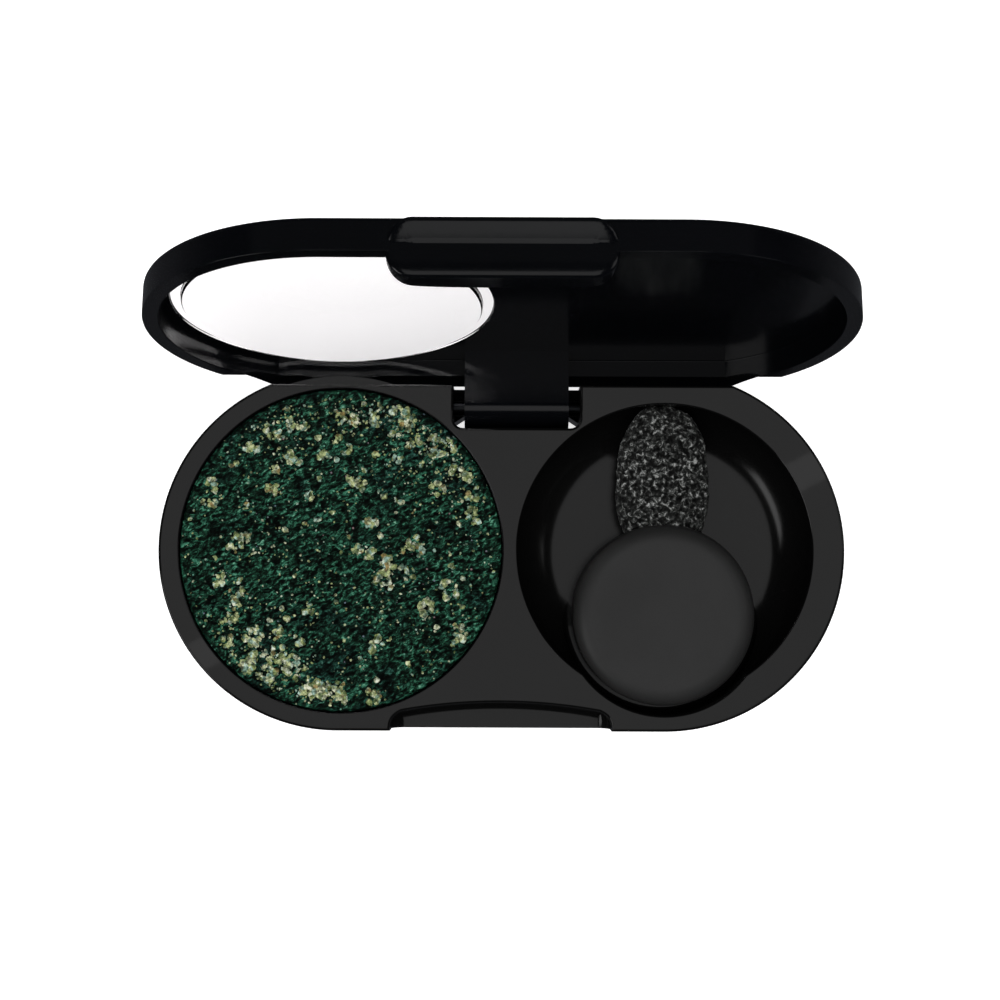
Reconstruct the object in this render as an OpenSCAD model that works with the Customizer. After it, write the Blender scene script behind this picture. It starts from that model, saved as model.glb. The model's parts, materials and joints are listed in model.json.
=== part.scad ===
// Eyeshadow palette: a pill-shaped compact with one pan of pressed shadow,
// a bowl that holds a sponge applicator, and a hinged lid with a clear window.
// +X runs along the case, +Y towards the hinge, +Z up. The origin is the
// centre of the flat underside. The lid is drawn open, against its stop.

/* [Pan and shadow] */
// Outer diameter of the pan
pan_d = 26; // [20:0.1:34]
// Height of the pan
pan_h = 3.5; // [2.5:0.1:4.5]
// Sheet thickness of the pan
pan_t = 0.3; // [0.2:0.05:0.5]
// Gap all round between the pan and its well
pan_gap = 0.12; // [0.05:0.01:0.3]
// How far the pan sits inward of the end's centre
pan_shift = 0.2; // [0:0.05:0.6]
// Thickness of the glue under the pan
glue_t = 0.2; // [0.1:0.05:0.4]
// Thickness of the shadow that stands over the pan's rim
cake_over = 0.35; // [0.1:0.05:0.6]
// How far the shadow's top lies below the deck
cake_drop = 0.15; // [0.05:0.05:0.6]

/* [Case] */
// Height of the base, from its underside to the deck
base_h = 9.5; // [7.9:0.1:14]
// Width of the deck between the pan's well and the outside
rim_w = 1.43; // [1.2:0.01:3]
// Width of the deck between the bowl and the outside
bowl_rim = 2.62; // [1.8:0.01:5]
// Width of the deck between the two wells
web_w = 1.15; // [0.8:0.05:3]
// How much the flat back cuts off the round ends
back_cut = 1.1; // [0.8:0.05:1.6]
// Thickness of the outer wall
wall = 1.25; // [1:0.05:1.6]
// Thickness of the deck and of the floors of the wells
deck_t = 1; // [0.8:0.1:1.6]
// Thickness of the bottom cover
cover_t = 1.2; // [0.8:0.1:1.6]
// Width of the shoulder that the bottom cover seats on
cover_seat = 0.4; // [0.3:0.05:0.6]
// Gap round the bottom cover
cover_gap = 0.05; // [0.02:0.01:0.15]
// Diameter of the label on the underside
label_d = 18; // [12:0.5:22]
// Thickness of the label
label_t = 0.12; // [0.08:0.01:0.2]

/* [Bowl and applicator] */
// Depth of the bowl
bowl_depth = 5.5; // [4:0.1:5.9]
// Radius of the cove between the bowl's wall and floor
cove_r = 3.3; // [1:0.1:3.9]
// Diameter of the applicator's knob
knob_d = 14.7; // [11:0.1:18]
// Gap round the knob in its pocket
knob_gap = 0.8; // [0.4:0.05:1.2]
// Wall left in front of the knob's pocket
pocket_wall = 1.25; // [1:0.05:2]
// Height of the knob over the deck
knob_proud = 0.4; // [0:0.1:1]
// Radius of the knob's top edge
knob_round = 1.4; // [0.6:0.1:2]
// Depth of the dish in the knob's top
dish_depth = 0.22; // [0.1:0.01:0.4]
// Width of the dish in the knob's top
dish_d = 10.4; // [7:0.1:10.6]
// Width of the sponge
sponge_w = 7.6; // [6:0.1:9]
// Thickness of the sponge
sponge_t = 3.6; // [2.8:0.1:4]
// Gap between the sponge's tip and the bowl's wall
sponge_gap = 0.25; // [0.2:0.05:1]
// Width of the sponge's stem
stem_w = 3; // [2:0.1:4]
// Thickness of the sponge's stem
stem_t = 0.9; // [0.6:0.05:1.2]
// How deep the stem is glued into the knob
stem_grip = 4; // [3:0.1:6]

/* [Lid] */
// Height of the lid, from its rim to its outer face
lid_h = 2.7; // [2.4:0.1:4]
// Thickness of the lid's plate
plate_t = 0.75; // [0.6:0.05:1]
// Thickness of the lid's rim
lid_wall = 1.25; // [1:0.05:1.6]
// Width of the plate left round the window
window_rim = 0.7; // [0.5:0.05:2]
// Width of the lens's thin outer step
lens_step = 0.9; // [0.5:0.05:2]
// How far the lens stands inside the plate
lens_proud = 0.45; // [0.2:0.05:0.8]
// Gap round the lens, filled by its glue
lens_gap = 0.03; // [0.01:0.01:0.1]
// Gap between the rim's relief and the deck's back edge as the lid turns
relief_gap = 0.12; // [0.08:0.01:0.3]

/* [Thumb tab] */
// Width of the thumb tab
tab_w = 16.7; // [12:0.1:20]
// How far the tab hangs below the lid's rim
tab_drop = 2.2; // [1.6:0.1:3]
// How far the tab's top stays below the lid's face
tab_top = 0.35; // [0.2:0.05:0.8]
// How far the tab stands out from the front
tab_proud = 0.8; // [0.3:0.05:1.2]
// Radius of the tab's corners
tab_corner = 1.9; // [1:0.1:2.2]
// Radius of the tab's bulging front
tab_bulge = 6; // [5:0.5:12]
// Gap at the side and behind the tab
tab_gap = 0.3; // [0.25:0.05:0.6]
// Depth of the recess behind the front face
recess_in = 2.3; // [1.8:0.1:2.6]
// Depth of the recess's ledge below the deck
recess_down = 4.5; // [3:0.1:5]
// Height of the latch bead on the tab's back
bead_h = 0.1; // [0.05:0.01:0.15]

/* [Hinge] */
// Offset of the hinge along the case
hinge_x = 1.2; // [-3:0.1:3]
// Width of the notch for the hinge
notch_w = 10.3; // [8:0.1:13]
// Gap at each side of the lid's tongue
tongue_gap = 0.9; // [0.3:0.05:1.5]
// Radius of the tongue's round end
knuckle_r = 1.6; // [1.4:0.05:2]
// Gap in front of the tongue's round end
knuckle_gap = 0.15; // [0.1:0.01:0.3]
// How far the tongue's back lies inside the flat back
hinge_in = 0.15; // [0:0.05:0.3]
// Depth of the hinge's axis below the deck
hinge_drop = 2.5; // [2.1:0.1:3]
// Diameter of the hinge pin
pin_d = 1.2; // [0.8:0.1:1.6]
// Radial clearance of the pin in the base
pin_fit = 0.04; // [0.02:0.01:0.08]
// Length of the pin held in the base at each side
pin_grip = 1.2; // [0.8:0.1:1.8]
// Angle from the closed lid to the open lid
open_deg = 105; // [95:1:115]
// Gap left between the tongue and its stop
stop_gap = 0.03; // [0.02:0.01:0.1]

/* [Hidden] */
$fn = 96;
eps = 0.01;      // overshoot of cuts
over = 1;        // overshoot of cuts that leave the body

// Layout of the case, worked out from the pan and the widths of the deck round the wells
well_r = pan_d / 2 + pan_gap;
end_r = well_r + rim_w;
bowl_r = end_r - bowl_rim;
pitch = well_r + bowl_r + web_w + pan_shift;
end_x = pitch / 2;
pan_x = -end_x + pan_shift;
bowl_x = end_x;
back_y = end_r - back_cut;

// Heights in the base
well_z = base_h - cake_drop - cake_over - pan_h - glue_t;
pan_z = well_z + glue_t;
bowl_z = base_h - bowl_depth;

// Applicator
pocket_r = knob_d / 2 + knob_gap;
pocket_y = -(end_r - pocket_wall - pocket_r);
knob_z = bowl_z;
knob_h = bowl_depth + knob_proud;
knob_back = pocket_y + knob_d / 2;
sponge_tip_y = bowl_r - sponge_gap;
sponge_z = bowl_z + 0.5 * bowl_depth + 0.3;
sponge_root_w = sponge_w - 1.2;
root_in = 0.35;              // how far the sponge's root tucks under the knob's round edge
stem_end_y = sponge_tip_y - 2.6;
stem_slot = 0.03;            // glue gap round the stem

// Hinge
axis_y = back_y - hinge_in - knuckle_r;
axis_z = base_h - hinge_drop;
notch_front = axis_y - knuckle_r - knuckle_gap;
notch_corner = 0.8;
notch_side = 2.6;            // thickness of the cheeks that hold the pin
notch_skin = 0.9;            // wall in front of the notch
tongue_w = notch_w - 2 * tongue_gap;
stop_z = axis_z - (knuckle_r - (back_y - axis_y) * cos(open_deg)) / sin(open_deg) - stop_gap;
stop_front = axis_y - pin_d / 2 + 0.2;
stop_gusset = 0.55;
relief_y = axis_y - 0.95;
relief_r = norm([back_y - axis_y, hinge_drop]) + relief_gap;

// Lid, in its closed place
plate_z = base_h + lid_h - plate_t;
lid_top = base_h + lid_h;
window_r = end_r - lid_wall - window_rim;
lens_r = window_r - lens_gap;

// Thumb tab and the recess that it drops into
recess_half = tab_w / 2 + 2 * tab_gap;
recess_power = 3.2;
recess_arc = 45;             // radius of the recess's back in plan
recess_cove = 0.8;           // cove between the recess's back and its ledge
recess_end = 1.7;            // round ends of the ledge
tab_face = -end_r - tab_proud;

// Outline of a pill with its back cut off flat, grown or shrunk by g
module pill(h, g = 0) {
    difference() {
        union() {
            for (s = [-1, 1]) translate([s * end_x, 0, 0]) cylinder(r = end_r + g, h = h, $fn = 160);
            translate([-end_x, -end_r - g, 0]) cube([pitch, 2 * (end_r + g), h]);
        }
        translate([-pitch, back_y + g, -over]) cube([2 * pitch, end_r, h + 2 * over]);
    }
}

// A solid of revolution with its lower edge coved or rounded at radius r
module round_foot(radius, h, r) {
    rotate_extrude($fn = 144) union() {
        square([radius - r, h]);
        translate([0, r]) square([radius, h - r]);
        translate([radius - r, r]) intersection() {
            circle(r = r, $fn = 64);
            translate([0, -r]) square([r, r]);
        }
    }
}

// Plan of the front recess: half a superellipse, out - in its own half width, deep - its depth
function recess_plan(out, deep) = concat(
    [[-out, -end_r - 2], [out, -end_r - 2]],
    [for (i = [0:48]) let (x = out * cos(180 * i / 48))
        [x, -end_r + deep * pow(max(0, 1 - pow(abs(x) / out, recess_power)), 1 / recess_power)]]);

// Plan of a rectangle with its two lower corners rounded, for a recess seen from the front
module round_bottom(half, h, r) {
    translate([-half + r, 0]) square([2 * (half - r), h]);
    translate([-half, r]) square([2 * half, h - r]);
    for (s = [-1, 1]) translate([s * (half - r), r]) circle(r = r, $fn = 64);
}

// Recess for the thumb tab, coved along its back and at both ends
module recess_cut() {
    intersection() {
        translate([0, -end_r + recess_in - recess_arc, base_h - recess_down])
            round_foot(recess_arc, recess_down + over, recess_cove);
        translate([0, 0, base_h - recess_down])
            linear_extrude(recess_down + over) polygon(recess_plan(recess_half, recess_in));
        translate([0, -end_r + recess_in + over, base_h - recess_down]) rotate([90, 0, 0])
            linear_extrude(recess_in + 2 * over) round_bottom(recess_half, recess_down + over, recess_end);
    }
}

// Moves what is drawn in the closed place to the open place
module opened() {
    translate([0, axis_y, axis_z]) rotate([-open_deg, 0, 0]) translate([0, -axis_y, -axis_z]) children();
}

// Box that spans the hinge, side is the extra width at each side
module hinge_box(side, y0, y1, z0, z1) {
    translate([hinge_x - notch_w / 2 - side, y0, z0]) cube([notch_w + 2 * side, y1 - y0, z1 - z0]);
}

// Opening for the tongue, right through the base, with round front corners
module notch_cut() {
    union() {
        hinge_box(0, notch_front + notch_corner, back_y + over, -over, base_h + over);
        hinge_box(-notch_corner, notch_front, notch_front + 2 * notch_corner, -over, base_h + over);
        for (s = [-1, 1])
            translate([hinge_x + s * (notch_w / 2 - notch_corner), notch_front + notch_corner, -over])
                cylinder(r = notch_corner, h = base_h + 2 * over, $fn = 32);
    }
}

// Bar low at the back of the notch that the open lid's tongue comes to rest on
module stop_bar() {
    hinge_box(eps, stop_front, back_y, 0, stop_z);
    for (s = [-1, 1])
        translate([hinge_x + s * notch_w / 2, 0, 0]) linear_extrude(stop_z)
            polygon([[s * eps, stop_front - stop_gusset], [s * eps, stop_front + eps],
                     [-s * (tongue_gap - 0.05), stop_front + eps], [-s * (tongue_gap - 0.05), stop_front]]);
}

module base_body() {
    difference() {
        union() {
            difference() {
                pill(base_h);
                translate([0, 0, cover_t]) pill(base_h - cover_t - deck_t, -wall);
                translate([0, 0, -over]) pill(cover_t + over, cover_seat - wall);
            }
            intersection() {
                translate([0, 0, cover_t]) pill(base_h - cover_t, -eps);
                union() {
                    translate([pan_x, 0, well_z - deck_t]) cylinder(r = well_r + deck_t, h = base_h - well_z, $fn = 144);
                    translate([bowl_x, 0, bowl_z - deck_t]) cylinder(r = bowl_r + deck_t, h = bowl_depth, $fn = 144);
                    translate([bowl_x, pocket_y, bowl_z - deck_t])
                        cylinder(r = pocket_r + deck_t, h = bowl_depth, $fn = 144);
                    translate([-recess_half - deck_t, -end_r, base_h - recess_down - deck_t])
                        cube([2 * (recess_half + deck_t), recess_in + deck_t, recess_down + deck_t / 2]);
                }
            }
            intersection() {
                pill(base_h, -eps);
                hinge_box(notch_side, notch_front - notch_skin, back_y, 0, base_h - deck_t / 2);
            }
        }
        translate([pan_x, 0, well_z]) cylinder(r = well_r, h = base_h, $fn = 144);
        translate([bowl_x, 0, bowl_z]) round_foot(bowl_r, bowl_depth + over, cove_r);
        translate([bowl_x, pocket_y, bowl_z]) cylinder(r = pocket_r, h = bowl_depth + over, $fn = 120);
        notch_cut();
        recess_cut();
    }
}

module base_shell() {
    color("#1c1c1d") difference() {
        union() {
            base_body();
            stop_bar();
        }
        translate([hinge_x, axis_y, axis_z]) rotate([0, 90, 0])
            cylinder(r = pin_d / 2 + pin_fit, h = notch_w + 2 * pin_grip + 0.2, center = true, $fn = 48);
    }
}

module bottom_cover() {
    color("#161617") difference() {
        pill(cover_t, cover_seat - wall - cover_gap);
        hinge_box(notch_side + cover_gap, notch_front - notch_skin - cover_gap, back_y + over, -over, cover_t + over);
        translate([-end_x, 0, -over]) cylinder(d = label_d + 0.4, h = label_t + over);
    }
}

// Blank sticker let into the underside below the pan
module base_label() {
    color("silver") translate([-end_x, 0, 0]) cylinder(d = label_d, h = label_t);
}

module pan_glue() {
    color("ivory") translate([pan_x, 0, well_z]) cylinder(d = pan_d - 8, h = glue_t);
}

module shadow_pan() {
    color("silver") translate([pan_x, 0, pan_z]) difference() {
        cylinder(d = pan_d, h = pan_h, $fn = 144);
        translate([0, 0, pan_t]) cylinder(d = pan_d - 2 * pan_t, h = pan_h, $fn = 144);
    }
}

// Pressed cake that fills the pan and covers its rim
module pressed_shadow() {
    color("#12352f") translate([pan_x, 0, pan_z]) union() {
        translate([0, 0, pan_t]) cylinder(d = pan_d - 2 * pan_t, h = pan_h - pan_t + eps, $fn = 144);
        translate([0, 0, pan_h]) cylinder(d = pan_d, h = cake_over, $fn = 144);
    }
}

// Thumb tab, in its closed place
module tab() {
    z0 = base_h - tab_drop;
    z1 = lid_top - tab_top;
    inner = recess_in - tab_gap;
    half = tab_w / 2;
    intersection() {
        translate([0, -end_r, 0]) rotate([90, 0, 0]) translate([0, 0, -recess_in]) union() {
            for (x = [-1, 1], z = [z0 + tab_corner, z1 - tab_corner])
                translate([x * (half - tab_corner), z, 0])
                    cylinder(r = tab_corner, h = recess_in + 2, $fn = 64);
            translate([-half + tab_corner, z0, 0]) cube([tab_w - 2 * tab_corner, z1 - z0, recess_in + 2]);
            translate([-half, z0 + tab_corner, 0]) cube([tab_w, z1 - z0 - 2 * tab_corner, recess_in + 2]);
        }
        translate([0, 0, z0 - over]) linear_extrude(z1 - z0 + 2 * over)
            polygon(recess_plan(half + tab_gap, inner));
        translate([0, tab_face + tab_bulge, (z0 + z1) / 2]) rotate([0, 90, 0])
            cylinder(r = tab_bulge, h = tab_w + 2, center = true, $fn = 160);
    }
    translate([-4, -end_r + inner - 0.05, base_h - 1.3]) cube([8, 0.05 + bead_h, 0.4]);
}

// Tongue that hangs from the plate into the notch, round about the pin
module tongue() {
    translate([hinge_x, axis_y, axis_z]) rotate([0, 90, 0])
        cylinder(r = knuckle_r, h = tongue_w, center = true, $fn = 96);
    translate([hinge_x - tongue_w / 2, axis_y - knuckle_r, axis_z])
        cube([tongue_w, 2 * knuckle_r, plate_z + plate_t / 2 - axis_z]);
}

// Relief along the rim, so that it turns past the deck's back edge
module relief_cut() {
    intersection() {
        translate([-pitch, relief_y, base_h - over]) cube([2 * pitch, end_r, lid_h]);
        translate([0, axis_y, axis_z]) rotate([0, 90, 0])
            cylinder(r = relief_r, h = 2 * pitch, center = true, $fn = 160);
    }
}

module lid_shell() {
    color("#0c0c0d") opened() difference() {
        union() {
            difference() {
                translate([0, 0, base_h]) pill(lid_h);
                translate([0, 0, base_h - over]) pill(lid_h - plate_t + over, -lid_wall);
                translate([-end_x, 0, base_h]) cylinder(r = window_r, h = lid_h + over, $fn = 144);
                relief_cut();
            }
            tongue();
            tab();
        }
        translate([hinge_x, axis_y, axis_z]) rotate([0, 90, 0])
            cylinder(d = pin_d, h = tongue_w + over, center = true, $fn = 48);
    }
}

// Clear lens, stepped so that its middle stands inside the plate
module window_lens() {
    color([0.9, 0.95, 1, 0.35]) opened() translate([-end_x, 0, 0]) union() {
        translate([0, 0, plate_z]) cylinder(r = lens_r, h = plate_t, $fn = 144);
        translate([0, 0, plate_z - lens_proud]) cylinder(r = lens_r - lens_step, h = lens_proud + eps, $fn = 144);
    }
}

// Steel pin pressed into the tongue, its two ends turning in the base
module hinge_pin() {
    color("silver") opened() translate([hinge_x, axis_y, axis_z]) rotate([0, 90, 0])
        cylinder(d = pin_d, h = notch_w + 2 * pin_grip, center = true, $fn = 48);
}

// Box round the flat stem, grown by g
module stem_box(g) {
    y0 = knob_back - stem_grip;
    translate([bowl_x - stem_w / 2 - g, y0 - g, sponge_z - stem_t / 2 - g])
        cube([stem_w + 2 * g, stem_end_y - stem_w / 2 - y0 + g, stem_t + 2 * g]);
    translate([bowl_x, stem_end_y - stem_w / 2, sponge_z - stem_t / 2 - g])
        cylinder(d = stem_w + 2 * g, h = stem_t + 2 * g, $fn = 48);
}

module applicator_knob() {
    dish_r = (pow(dish_d / 2, 2) + pow(dish_depth, 2)) / (2 * dish_depth);
    color("#303031") difference() {
        translate([bowl_x, pocket_y, knob_z + knob_h]) mirror([0, 0, 1]) round_foot(knob_d / 2, knob_h, knob_round);
        translate([bowl_x, pocket_y, knob_z + knob_h + dish_r - dish_depth]) sphere(r = dish_r, $fn = 240);
        stem_box(stem_slot);
    }
}

module applicator_stem() {
    color("#232324") stem_box(0);
}

// Foam tip: egg-shaped in plan, flattened, with a slot for the stem
module sponge_tip() {
    tip_r = 0.42 * sponge_w;
    root_y = knob_back - root_in;
    mid_y = root_y + 0.36 * (sponge_tip_y - root_y);
    squash = sponge_t / sponge_w;
    color("#262627") difference() {
        intersection() {
            translate([bowl_x, 0, sponge_z]) scale([1, 1, squash]) hull() {
                translate([0, mid_y, 0]) sphere(d = sponge_w, $fn = 32);
                translate([0, sponge_tip_y - tip_r, 0]) sphere(r = tip_r, $fn = 32);
                translate([0, root_y, 0]) sphere(d = sponge_root_w, $fn = 32);
            }
            translate([bowl_x - sponge_w, root_y, sponge_z - sponge_t]) cube([2 * sponge_w, 2 * sponge_w, 2 * sponge_t]);
        }
        translate([bowl_x, pocket_y, bowl_z - over]) cylinder(d = knob_d + 0.04, h = 2 * base_h, $fn = 120);
        stem_box(0);
    }
}

base_shell();
bottom_cover();
base_label();
pan_glue();
shadow_pan();
pressed_shadow();
lid_shell();
window_lens();
hinge_pin();
applicator_knob();
applicator_stem();
sponge_tip();
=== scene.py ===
# Looks of the eyeshadow palette: one pan of pressed shadow, a bowl with a sponge applicator, a windowed lid.
# Pieces are shaped in millimetres and brought to metres when they are finished.
import json
import math
import random

import bmesh
import bpy
from mathutils import Matrix, Vector, noise


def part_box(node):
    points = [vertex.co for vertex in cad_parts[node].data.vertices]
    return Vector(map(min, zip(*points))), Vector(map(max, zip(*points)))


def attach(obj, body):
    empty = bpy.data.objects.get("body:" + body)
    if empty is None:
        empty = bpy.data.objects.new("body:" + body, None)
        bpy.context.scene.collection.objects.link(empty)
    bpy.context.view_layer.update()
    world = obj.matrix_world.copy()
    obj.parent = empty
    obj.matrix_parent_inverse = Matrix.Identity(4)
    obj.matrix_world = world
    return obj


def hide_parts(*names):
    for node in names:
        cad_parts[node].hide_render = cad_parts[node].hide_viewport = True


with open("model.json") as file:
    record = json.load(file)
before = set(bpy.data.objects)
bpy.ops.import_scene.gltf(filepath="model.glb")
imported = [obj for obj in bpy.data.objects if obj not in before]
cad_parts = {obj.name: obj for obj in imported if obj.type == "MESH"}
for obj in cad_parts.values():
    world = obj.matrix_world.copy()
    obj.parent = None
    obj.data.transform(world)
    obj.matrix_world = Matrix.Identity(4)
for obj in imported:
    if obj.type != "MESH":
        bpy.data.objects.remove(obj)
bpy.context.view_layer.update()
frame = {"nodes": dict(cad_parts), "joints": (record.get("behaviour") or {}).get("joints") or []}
random.seed(27)
noise.seed_set(27)  # or noise_vector takes its offsets from the clock

mm = 0.001
quarterTurn = math.pi / 2


def boxOf(node):  # lowest and highest corner of a CAD node in millimetres
    low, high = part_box(node)
    return low / mm, high / mm


caseLow, caseHigh = boxOf("base_shell")
panLow, panHigh = boxOf("shadow_pan")
cakeLow, cakeHigh = boxOf("pressed_shadow")
knobLow, knobHigh = boxOf("applicator_knob")
spongeLow, spongeHigh = boxOf("sponge_tip")

endR = -caseLow.y
endX = caseHigh.x - endR
backY = caseHigh.y
deckZ = caseHigh.z
panX = (panLow.x + panHigh.x) / 2
bowlX = (knobLow.x + knobHigh.x) / 2
pocketY = (knobLow.y + knobHigh.y) / 2

hinge = next(j for j in frame["joints"] if j["name"] == "lid_hinge")
hingeAt = Vector(hinge["pos_m"]) / mm
openAngle = math.radians(hinge["range_deg"][1])
openLid = Matrix.Translation(hingeAt) @ Matrix.Rotation(-openAngle, 4, "X") @ Matrix.Translation(-hingeAt)


def roundCorners(corners, steps=6, closed=True):  # corners are (a, b) or (a, b, radius)
    line = []
    count = len(corners)
    for i, corner in enumerate(corners):
        here = Vector(corner[:2])
        ends = not closed and i in (0, count - 1)
        if len(corner) < 3 or corner[2] <= 0 or ends:
            line.append(here)
            continue
        before = (Vector(corners[i - 1][:2]) - here).normalized()
        after = (Vector(corners[(i + 1) % count][:2]) - here).normalized()
        half = before.angle(after) / 2
        setback = corner[2] / math.tan(half)
        middle = here + (before + after).normalized() * corner[2] / math.sin(half)
        first = (here + before * setback - middle).normalized()
        last = (here + after * setback - middle).normalized()
        line += [middle + first.slerp(last, k / steps) * corner[2] for k in range(steps + 1)]
    return line


def lathe(profile, at=(0, 0), steps=144, roundSteps=6):  # profile of (radius, height) from the axis back to it
    bm = bmesh.new()
    points = [bm.verts.new((p.x, 0, p.y)) for p in roundCorners(profile, roundSteps, closed=False)]
    edges = [bm.edges.new(pair) for pair in zip(points, points[1:])]
    bmesh.ops.spin(bm, geom=points + edges, cent=(0, 0, 0), axis=(0, 0, 1), dvec=(0, 0, 0),
                   angle=2 * math.pi, steps=steps, use_merge=True, use_duplicate=False)
    bmesh.ops.remove_doubles(bm, verts=bm.verts, dist=0.0005)
    bmesh.ops.recalc_face_normals(bm, faces=bm.faces)
    bmesh.ops.translate(bm, verts=bm.verts, vec=(*at, 0))
    return bm


def thicken(bm, move):  # turns one flat face into a closed block
    raised = bmesh.ops.extrude_face_region(bm, geom=bm.faces[:])
    top = [g for g in raised["geom"] if isinstance(g, bmesh.types.BMVert)]
    bmesh.ops.translate(bm, verts=top, vec=move)
    bmesh.ops.recalc_face_normals(bm, faces=bm.faces)
    return bm


def plate(corners, low, high, across="Z", roundSteps=6):  # a block with a drawn outline, standing along an axis
    bm = bmesh.new()
    stand = {
        "Z": lambda p, d: (p.x, p.y, d),
        "Y": lambda p, d: (p.x, d, p.y),
        "X": lambda p, d: (d, p.x, p.y),
    }[across]
    bm.faces.new([bm.verts.new(stand(p, low)) for p in roundCorners(corners, roundSteps)])
    return thicken(bm, Vector(stand(Vector((0, 0)), high - low)))


def rodAlongX(at, radius, halfLength, segments=48):
    bm = bmesh.new()
    turn = Matrix.Translation(at) @ Matrix.Rotation(quarterTurn, 4, "Y")
    bmesh.ops.create_cone(bm, cap_ends=True, segments=segments, radius1=radius, radius2=radius,
                          depth=2 * halfLength, matrix=turn)
    return bm


def pill(grow, low, high):  # the case's outline: two round ends, with the back cut flat
    bm = bmesh.new()
    bmesh.ops.create_circle(bm, cap_ends=True, radius=endR + grow, segments=176,
                            matrix=Matrix.Translation((0, 0, low)) @ Matrix.Rotation(math.pi / 176, 4, "Z"))
    for side in (-1, 1):
        bmesh.ops.translate(bm, verts=[v for v in bm.verts if v.co.x * side > 0], vec=(side * endX, 0, 0))
    bmesh.ops.bisect_plane(bm, geom=bm.verts[:] + bm.edges[:] + bm.faces[:], plane_co=(0, backY + grow, 0),
                           plane_no=(0, 1, 0), clear_outer=True)
    return thicken(bm, (0, 0, high - low))


def bevelWhere(bm, width, segments, chosen):
    edges = [e for e in bm.edges if len(e.link_faces) == 2 and chosen(e)]
    bmesh.ops.bevel(bm, geom=edges, offset=width, offset_type="OFFSET", segments=segments,
                    profile=0.5, affect="EDGES", clamp_overlap=True, material=-1)


def atHeight(z, slack=0.002):
    return lambda e: all(abs(v.co.z - z) < slack for v in e.verts)


def sharpAtHeight(z, slack=0.004, angle=50):
    level = atHeight(z, slack)
    return lambda e: level(e) and e.calc_face_angle(0) > math.radians(angle)


def addObject(name, bm):
    mesh = bpy.data.meshes.new(name)
    bm.to_mesh(mesh)
    bm.free()
    obj = bpy.data.objects.new(name, mesh)
    bpy.context.scene.collection.objects.link(obj)
    return obj


def combine(bm, *steps):  # steps are (operation, tool), cleaned up one by one so that slivers don't add up
    for operation, tool in steps:
        body, cutter = addObject("work", bm), addObject("tool", tool)
        cut = body.modifiers.new("cut", "BOOLEAN")
        cut.operation, cut.solver, cut.object = operation, "EXACT", cutter
        evaluated = body.evaluated_get(bpy.context.evaluated_depsgraph_get())
        bm = bmesh.new()
        bm.from_mesh(evaluated.to_mesh())
        evaluated.to_mesh_clear()
        for obj in (body, cutter):
            mesh = obj.data
            bpy.data.objects.remove(obj)
            bpy.data.meshes.remove(mesh)
        bmesh.ops.remove_doubles(bm, verts=bm.verts, dist=0.0008)
        bmesh.ops.dissolve_degenerate(bm, edges=bm.edges, dist=0.0005)
    return bm


def makePiece(name, bm, body, material, replaced=(), sharpAngle=38, evenNormals=True):
    bmesh.ops.scale(bm, verts=bm.verts, vec=(mm, mm, mm))
    obj = addObject(name, bm)
    obj.data.materials.append(material)
    obj.data.shade_smooth()
    obj.data.set_sharp_from_angle(angle=math.radians(sharpAngle))
    if evenNormals:  # keeps big flat faces flat beside their rounded edges
        finish = obj.modifiers.new("evenNormals", "WEIGHTED_NORMAL")
        finish.keep_sharp = True
    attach(obj, body)
    if replaced:
        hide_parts(*replaced)
    print("made", name, len(obj.data.polygons), "faces")
    return obj


def hexColour(code):
    parts = [int(code[i:i + 2], 16) / 255 for i in (1, 3, 5)]
    return tuple(c / 12.92 if c <= 0.04045 else ((c + 0.055) / 1.055) ** 2.4 for c in parts) + (1.0,)


def addNode(tree, kind, settings):
    node = tree.nodes.new(kind)
    for key, value in settings.items():
        if key == "stops":
            ramp = node.color_ramp.elements
            while len(ramp) < len(value):
                ramp.new(0.5)
            for element, (place, code) in zip(ramp, value):
                element.position = place
                element.color = hexColour(code)
        elif isinstance(key, int) or key in node.inputs:
            if isinstance(value, bpy.types.NodeSocket):
                tree.links.new(value, node.inputs[key])
            else:
                node.inputs[key].default_value = value
        else:
            setattr(node, key, value)
    return node


def newMaterial(name, settings):
    material = bpy.data.materials.new(name)
    material.use_nodes = True
    tree = material.node_tree
    tree.nodes.clear()
    surface = addNode(tree, "ShaderNodeBsdfPrincipled", settings)
    addNode(tree, "ShaderNodeOutputMaterial", {"Surface": surface.outputs["BSDF"]})
    place = addNode(tree, "ShaderNodeTexCoord", {}).outputs["Object"]
    return material, tree, surface, place


def perMetre(sizeMm):  # texture scale whose pattern repeats about every sizeMm
    return 1 / (sizeMm * mm)


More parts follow.
